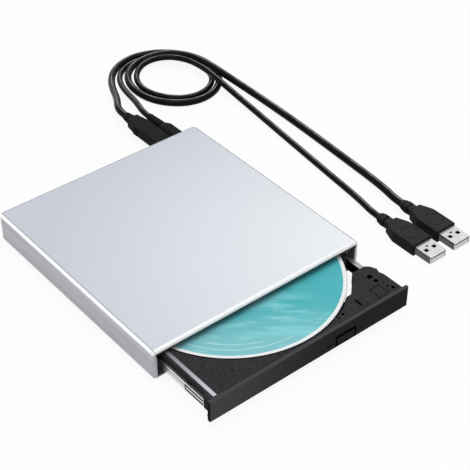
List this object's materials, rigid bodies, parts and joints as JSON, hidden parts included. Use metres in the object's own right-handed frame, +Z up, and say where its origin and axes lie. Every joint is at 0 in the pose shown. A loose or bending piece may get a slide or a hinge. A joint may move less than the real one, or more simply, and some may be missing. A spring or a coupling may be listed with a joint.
{
  "type": "external disc writer",
  "caption": "Slim external USB optical drive with its tray drawn out, a disc on the spindle and two USB leads plugged in behind.",
  "frame": {"origin": "on the table under the middle of the drive with its tray as drawn out in the picture, cords left out", "axes": "+Z up, -Y the way the tray opens, +X to the right seen from the front"},
  "size_m": [0.2013, 0.2896, 0.0188],
  "materials": {
    "case_metal": "satin",
    "steel_sheet": "brushed",
    "bright_steel": "polished",
    "tray_black": "fine grain",
    "bezel_black": "fine grain",
    "button_black": "fine grain",
    "light_clear": "clear",
    "rubber_black": "matt",
    "cord_black": "glossy",
    "grip_black": "matt",
    "nickel": "polished",
    "tongue_white": "plain",
    "board_green": "lacquered",
    "chip_black": "plain",
    "connector_ivory": "plain",
    "ribbon_amber": "film",
    "coil_copper": "wound",
    "guide_grey": "plain",
    "frame_metal": "cast",
    "sled_black": "plain",
    "lens_glass": "clear",
    "disc_teal": "printed",
    "hub_white": "plain"
  },
  "bodies": {
    "case": {"top_panel": "case_metal", "bottom_shell": "case_metal", "rubber_feet": "rubber_black", "case_screws": "bright_steel", "drive_base_pan": "steel_sheet", "drive_top_cover": "steel_sheet", "cover_screws": "bright_steel", "latch_pin": "bright_steel", "left_guide": "guide_grey", "right_guide": "guide_grey", "main_board": "board_green", "main_board_chips": "chip_black", "bridge_board": "board_green", "bridge_chips": "chip_black", "drive_connector": "connector_ivory", "ribbon_cable": "ribbon_amber", "data_socket": "nickel", "power_socket": "chip_black", "data_plug": "grip_black", "data_plug_tip": "nickel", "power_plug": "grip_black", "power_plug_tip": "nickel", "data_cord": "cord_black", "power_cord": "cord_black", "usb_data_grip": "grip_black", "usb_data_shell": "nickel", "usb_data_tongue": "tongue_white", "usb_power_grip": "grip_black", "usb_power_shell": "nickel", "usb_power_tongue": "tongue_white"},
    "rails": {"left_rail": "steel_sheet", "right_rail": "steel_sheet"},
    "tray": {"tray": "tray_black", "tray_side_strip": "bright_steel", "tray_bottom_cover": "steel_sheet", "tray_board": "board_green", "eject_switch": "chip_black", "latch_solenoid": "coil_copper", "bezel": "bezel_black", "light_pipe": "light_clear", "traverse_frame": "frame_metal", "guide_rods": "bright_steel", "sled_motor": "steel_sheet", "dampers": "rubber_black", "damper_screws": "bright_steel", "motor_base": "frame_metal", "stator": "coil_copper"},
    "button": {"eject_button": "button_black"},
    "latch": {"latch_lever": "hub_white"},
    "spindle": {"spindle_rotor": "hub_white", "turntable_pad": "rubber_black", "disc": "disc_teal"},
    "claw_1": {"clamp_claw_1": "sled_black"},
    "claw_2": {"clamp_claw_2": "sled_black"},
    "claw_3": {"clamp_claw_3": "sled_black"},
    "sled": {"pickup_sled": "sled_black", "objective_lens": "lens_glass"},
    "lead_screw": {"lead_screw": "bright_steel"}
  },
  "joints": [
    {"name": "rails_slide", "type": "slide", "parent": "case", "child": "rails", "axis": [0, -1, 0], "range_m": [-0.04, 0.0235]},
    {"name": "tray_slide", "type": "slide", "parent": "rails", "child": "tray", "axis": [0, -1, 0], "range_m": [0, 0.0635]},
    {"name": "button_press", "type": "slide", "parent": "tray", "child": "button", "axis": [0, 1, 0], "range_m": [0, 0.0006], "stiffness_N_per_m": 500},
    {"name": "latch_turn", "type": "hinge", "parent": "tray", "child": "latch", "pos_m": [0.046, -0.0825, 0.0065], "axis": [0, 0, 1], "range_deg": [-14, 0], "stiffness_Nm_per_rad": 0.002},
    {"name": "spindle_spin", "type": "hinge", "parent": "tray", "child": "spindle", "pos_m": [0.001, -0.0245, 0.008], "axis": [0, 0, 1], "continuous": true},
    {"name": "claw_1_press", "type": "slide", "parent": "spindle", "child": "claw_1", "axis": [0, -1, 0], "range_m": [0, 0.0006], "stiffness_N_per_m": 400},
    {"name": "claw_2_press", "type": "slide", "parent": "spindle", "child": "claw_2", "axis": [0.866, 0.5, 0], "range_m": [0, 0.0006], "stiffness_N_per_m": 400},
    {"name": "claw_3_press", "type": "slide", "parent": "spindle", "child": "claw_3", "axis": [-0.866, 0.5, 0], "range_m": [0, 0.0006], "stiffness_N_per_m": 400},
    {"name": "sled_slide", "type": "slide", "parent": "tray", "child": "sled", "axis": [-0.7071, -0.7071, 0], "range_m": [0, 0.034]},
    {"name": "lead_screw_turn", "type": "hinge", "parent": "tray", "child": "lead_screw", "pos_m": [0.01726, -0.04076, 0.007], "axis": [-0.7071, -0.7071, 0], "range_deg": [-4100, 10]}
  ],
  "couplings": [
    {"joint": "lead_screw_turn", "follows": "sled_slide", "rad_per_m": -2094.4}
  ]
}
